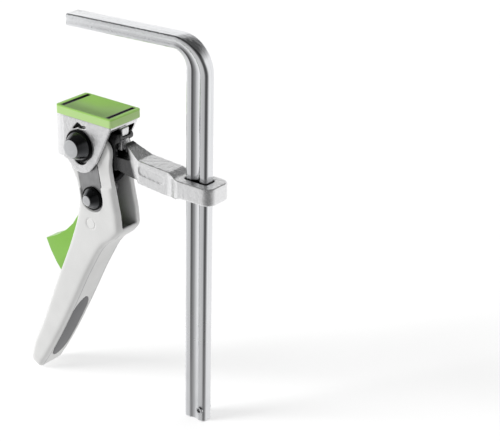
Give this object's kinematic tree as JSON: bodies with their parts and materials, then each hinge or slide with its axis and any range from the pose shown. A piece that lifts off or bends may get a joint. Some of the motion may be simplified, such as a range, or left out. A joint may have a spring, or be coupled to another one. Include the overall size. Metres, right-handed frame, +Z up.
{
  "type": "lever clamp",
  "caption": "Rail clamp with a bent hook, a sliding arm and a hand lever whose cam lifts the padded jaw; a ratchet holds it and a release lever frees it.",
  "frame": {"origin": "underside of the hook, straight above the middle of the pad: the fixed clamping point", "axes": "+X from the jaw towards the rail, +Y across the clamp away from the viewer of the picture, +Z up along the rail; the middle plane is Y = 0"},
  "size_m": [0.128, 0.0356, 0.2161],
  "materials": {
    "plated_steel": "bright plated",
    "spring_steel": "plain drawn",
    "cast_metal": "cast, plated silver",
    "plate_steel": "rolled, matt",
    "black_steel": "blackened",
    "shell_plastic": "satin off-white",
    "lime_plastic": "satin lime green",
    "grip_rubber": "matt dark grey"
  },
  "bodies": {
    "rail": {"rail_bar": "plated_steel", "stop_pin": "spring_steel"},
    "arm": {"slide_arm": "cast_metal", "pivot_pin": "plated_steel", "pivot_cap": "plated_steel", "pivot_rings": "black_steel", "spacer_bush": "spring_steel", "return_spring": "spring_steel", "ratchet_sector": "plate_steel", "sector_rivets": "spring_steel"},
    "jaw": {"jaw_carrier": "cast_metal", "wear_plate": "spring_steel", "pressure_pad": "lime_plastic"},
    "lever": {"handle_shell": "shell_plastic", "grip_insert": "grip_rubber", "cam_plates": "plate_steel", "pawl_pin": "plated_steel", "pawl_cap": "plated_steel", "pawl_rings": "black_steel", "trigger_pin": "shell_plastic", "pawl_spring": "spring_steel"},
    "pawl": {"pawl": "plate_steel"},
    "trigger": {"release_lever": "lime_plastic"}
  },
  "joints": [
    {"name": "arm_slide", "type": "slide", "parent": "rail", "child": "arm", "axis": [0, 0, 1], "range_m": [-0.117, 0.035]},
    {"name": "lever_close", "type": "hinge", "parent": "arm", "child": "lever", "pos_m": [-0.0034, 0, -0.0606], "axis": [0, -1, 0], "range_deg": [0, 30], "stiffness_Nm_per_rad": 0.2, "springref_deg": -45.84, "deforming": ["return_spring"]},
    {"name": "jaw_lift", "type": "slide", "parent": "arm", "child": "jaw", "axis": [0, 0, 1], "range_m": [0, 0.004]},
    {"name": "trigger_press", "type": "hinge", "parent": "lever", "child": "trigger", "pos_m": [0.0016, 0, -0.1039], "axis": [0, -1, 0], "range_deg": [0, 8], "stiffness_Nm_per_rad": 0.05, "springref_deg": -28.65},
    {"name": "pawl_swing", "type": "hinge", "parent": "lever", "child": "pawl", "pos_m": [0.0028, 0, -0.0892], "axis": [0, -1, 0], "range_deg": [-9, 0], "deforming": ["pawl_spring"]}
  ],
  "couplings": [
    {"joint": "jaw_lift", "follows": "lever_close", "m_per_rad": 0.0075},
    {"joint": "pawl_swing", "follows": "trigger_press", "ratio": -1.1}
  ]
}
